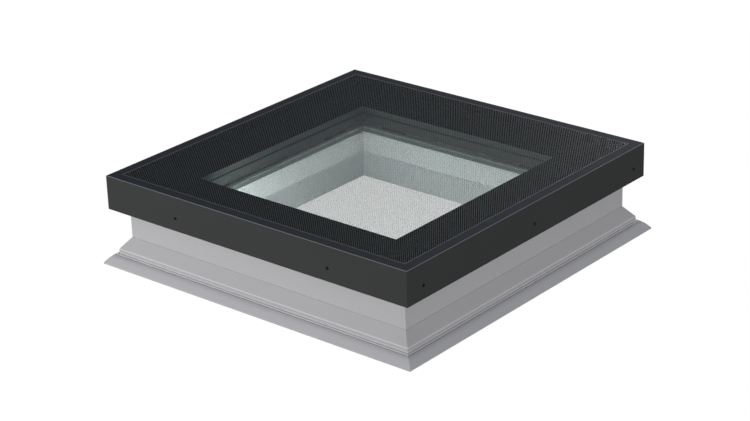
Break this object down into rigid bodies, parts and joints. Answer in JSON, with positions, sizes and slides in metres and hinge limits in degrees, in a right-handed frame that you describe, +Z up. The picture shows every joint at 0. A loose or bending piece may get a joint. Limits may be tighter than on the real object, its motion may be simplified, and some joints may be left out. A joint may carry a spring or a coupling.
{
  "type": "roof skylight",
  "caption": "Fixed walk-on flat-roof skylight: metal cover frame round a flush dotted glass pane, on a hollow insulated plastic upstand with a sloped shelf and a grooved flange.",
  "frame": {"origin": "middle of the base, where the upstand stands on the roof", "axes": "+Z up through the glass; +X to the right; the front with two cover screws is the -Y side"},
  "size_m": [0.9924, 0.9924, 0.24],
  "materials": {
    "upstand_plastic": "satin grey-white extruded PVC with a fine grain",
    "insulation_foam": "expanded foam",
    "mill_aluminium": "mill finish",
    "powder_coat": "fine matt anthracite powder coat",
    "dotted_glass": "laminated, anti-slip dots, black border print",
    "clear_glass": "clear",
    "spacer_bar": "dark warm-edge spacer",
    "edge_seal": "matt sealant",
    "gasket_rubber": "matt rubber",
    "block_plastic": "moulded",
    "dark_screw": "dark coated steel",
    "plated_screw": "zinc plated"
  },
  "bodies": {
    "root": {"upstand_front": "upstand_plastic", "upstand_right": "upstand_plastic", "upstand_back": "upstand_plastic", "upstand_left": "upstand_plastic", "insulation_front": "insulation_foam", "insulation_right": "insulation_foam", "insulation_back": "insulation_foam", "insulation_left": "insulation_foam", "carrier_rail_front": "mill_aluminium", "carrier_rail_right": "mill_aluminium", "carrier_rail_back": "mill_aluminium", "carrier_rail_left": "mill_aluminium", "cover_front": "powder_coat", "cover_right": "powder_coat", "cover_back": "powder_coat", "cover_left": "powder_coat", "corner_key_front_right": "mill_aluminium", "corner_key_back_right": "mill_aluminium", "corner_key_back_left": "mill_aluminium", "corner_key_front_left": "mill_aluminium", "walk_on_pane": "dotted_glass", "middle_pane": "clear_glass", "inner_pane": "clear_glass", "upper_spacer": "spacer_bar", "lower_spacer": "spacer_bar", "upper_edge_seal": "edge_seal", "lower_edge_seal": "edge_seal", "pane_gasket": "gasket_rubber", "pane_tape": "gasket_rubber", "pane_bed_gasket": "gasket_rubber", "inner_bed_gasket": "gasket_rubber", "setting_blocks": "block_plastic", "cover_screws": "dark_screw", "rail_screws": "plated_screw"}
  },
  "joints": []
}
